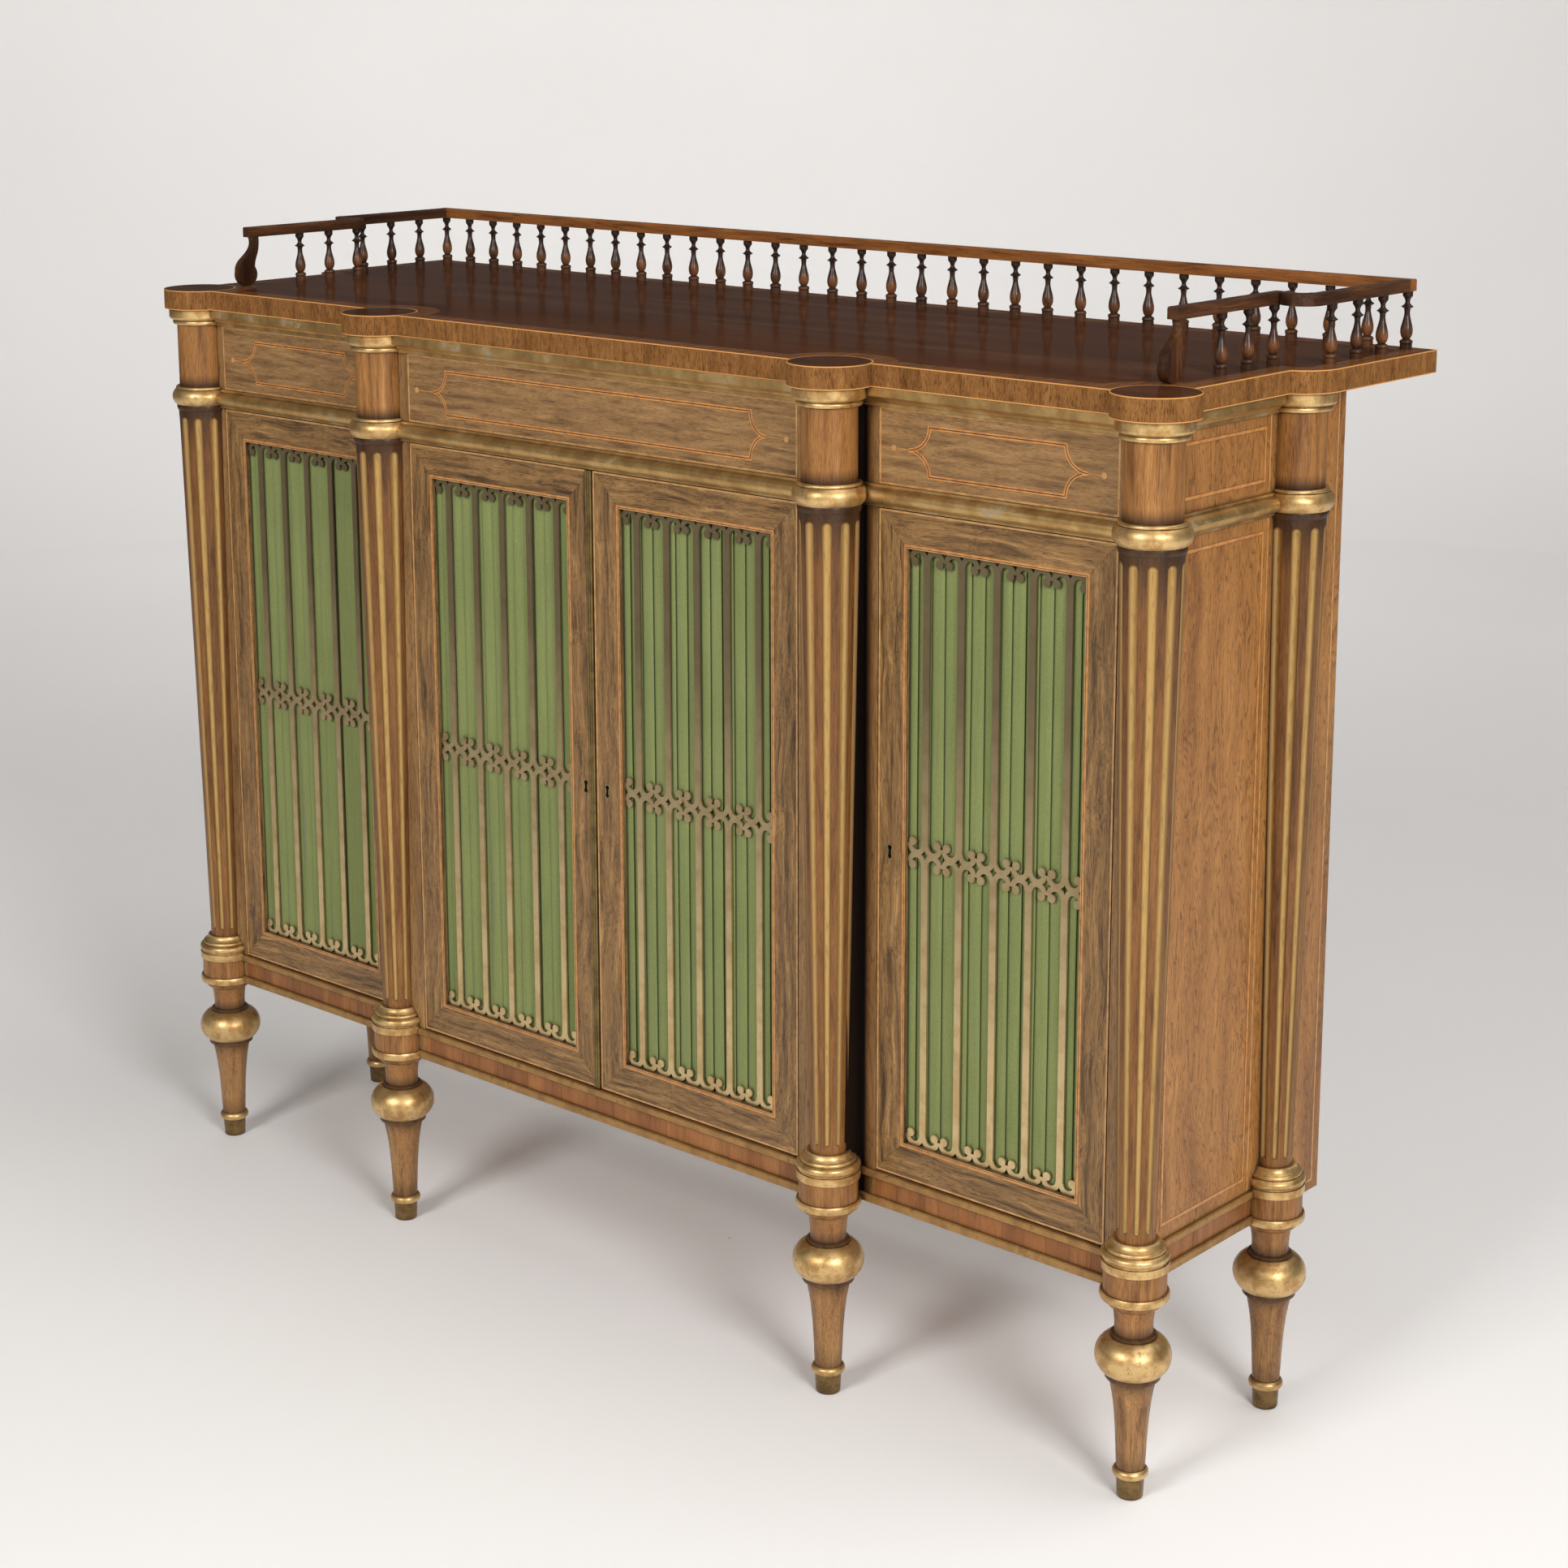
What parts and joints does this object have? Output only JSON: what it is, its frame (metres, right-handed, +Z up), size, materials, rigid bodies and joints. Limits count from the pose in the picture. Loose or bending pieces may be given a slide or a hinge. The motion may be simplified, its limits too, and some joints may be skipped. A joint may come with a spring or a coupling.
{
  "type": "chiffonier",
  "caption": "Breakfront side cabinet on turned feet, with fluted columns, brass-grilled doors lined with pleated silk and a low spindle gallery round its top.",
  "frame": {"origin": "on the floor, in the middle of the width and of the top board's depth", "axes": "+Z up, -Y towards the front with the doors, +X to the right seen from the front"},
  "size_m": [1.464, 0.502, 1.149],
  "materials": {
    "column_rosewood": "polished",
    "gilding": "worn gilt",
    "moulding_brass": "worn satin",
    "foot_brass": "satin",
    "gallery_rosewood": "polished",
    "top_rosewood": "french polished",
    "door_rosewood": "polished",
    "frieze_rosewood": "polished",
    "post_rosewood": "polished",
    "plinth_crossbanding": "polished",
    "side_rosewood": "polished",
    "grille_brass": "tarnished",
    "pleated_silk": "pleated silk",
    "bolt_brass": "satin",
    "lock_brass": "polished",
    "astragal_brass": "satin",
    "fitting_steel": "satin",
    "carcase_mahogany": "waxed"
  },
  "bodies": {
    "cabinet": {"back_panel": "carcase_mahogany", "bottom_board": "carcase_mahogany", "cavetto_mouldings": "moulding_brass", "column_inner_left": "column_rosewood", "column_inner_right": "column_rosewood", "column_outer_left": "column_rosewood", "column_outer_right": "column_rosewood", "column_rear_left": "column_rosewood", "column_rear_right": "column_rosewood", "door_pivots": "fitting_steel", "foot_caps": "foot_brass", "frieze_rails": "frieze_rosewood", "front_posts": "post_rosewood", "gallery_rail_back": "gallery_rosewood", "gallery_rail_left": "gallery_rosewood", "gallery_rail_right": "gallery_rosewood", "gallery_scrolls": "gallery_rosewood", "gallery_spindles_back": "gallery_rosewood", "gallery_spindles_left": "gallery_rosewood", "gallery_spindles_right": "gallery_rosewood", "gilt_rings_inner_left": "gilding", "gilt_rings_inner_right": "gilding", "gilt_rings_outer_left": "gilding", "gilt_rings_outer_right": "gilding", "gilt_rings_rear_left": "gilding", "gilt_rings_rear_right": "gilding", "partitions": "carcase_mahogany", "plinth_beads": "moulding_brass", "plinth_rails": "plinth_crossbanding", "shelf_bearers": "carcase_mahogany", "shelf_centre": "carcase_mahogany", "shelves_wing": "carcase_mahogany", "side_panel_left": "side_rosewood", "side_panel_right": "side_rosewood", "top_board": "top_rosewood", "top_screws": "fitting_steel", "torus_mouldings": "moulding_brass", "under_top_board": "carcase_mahogany"},
    "door_wing_left": {"door_frame_wing_left": "door_rosewood", "grille_wing_left": "grille_brass", "silk_wing_left": "pleated_silk", "lock_wing_left": "lock_brass"},
    "door_centre_left": {"door_frame_centre_left": "door_rosewood", "grille_centre_left": "grille_brass", "silk_centre_left": "pleated_silk", "lock_centre_left": "lock_brass", "meeting_astragal": "astragal_brass"},
    "door_centre_right": {"door_frame_centre_right": "door_rosewood", "grille_centre_right": "grille_brass", "silk_centre_right": "pleated_silk", "lock_centre_right": "lock_brass"},
    "door_wing_right": {"door_frame_wing_right": "door_rosewood", "grille_wing_right": "grille_brass", "silk_wing_right": "pleated_silk", "lock_wing_right": "lock_brass"},
    "lock_bolt_wing_left": {"lock_bolt_wing_left": "bolt_brass"},
    "lock_bolt_centre_right": {"lock_bolt_centre_right": "bolt_brass"},
    "lock_bolt_wing_right": {"lock_bolt_wing_right": "bolt_brass"},
    "flush_bolt_upper": {"flush_bolt_upper": "bolt_brass"},
    "flush_bolt_lower": {"flush_bolt_lower": "bolt_brass"}
  },
  "joints": [
    {"name": "wing_left_hinge", "type": "hinge", "parent": "cabinet", "child": "door_wing_left", "pos_m": [-0.6426, -0.1745, 0.591], "axis": [0, 0, -1], "range_deg": [0, 110]},
    {"name": "centre_left_hinge", "type": "hinge", "parent": "cabinet", "child": "door_centre_left", "pos_m": [-0.2779, -0.2035, 0.591], "axis": [0, 0, -1], "range_deg": [0, 110]},
    {"name": "centre_right_hinge", "type": "hinge", "parent": "cabinet", "child": "door_centre_right", "pos_m": [0.2779, -0.2035, 0.591], "axis": [0, 0, 1], "range_deg": [0, 110]},
    {"name": "wing_right_hinge", "type": "hinge", "parent": "cabinet", "child": "door_wing_right", "pos_m": [0.6426, -0.1745, 0.591], "axis": [0, 0, 1], "range_deg": [0, 110]},
    {"name": "wing_left_lock_slide", "type": "slide", "parent": "door_wing_left", "child": "lock_bolt_wing_left", "axis": [1, 0, 0], "range_m": [0, 0.007]},
    {"name": "centre_right_lock_slide", "type": "slide", "parent": "door_centre_right", "child": "lock_bolt_centre_right", "axis": [-1, 0, 0], "range_m": [0, 0.007]},
    {"name": "wing_right_lock_slide", "type": "slide", "parent": "door_wing_right", "child": "lock_bolt_wing_right", "axis": [-1, 0, 0], "range_m": [0, 0.007]},
    {"name": "flush_upper_slide", "type": "slide", "parent": "door_centre_left", "child": "flush_bolt_upper", "axis": [0, 0, 1], "range_m": [0, 0.007]},
    {"name": "flush_lower_slide", "type": "slide", "parent": "door_centre_left", "child": "flush_bolt_lower", "axis": [0, 0, -1], "range_m": [0, 0.007]}
  ]
}
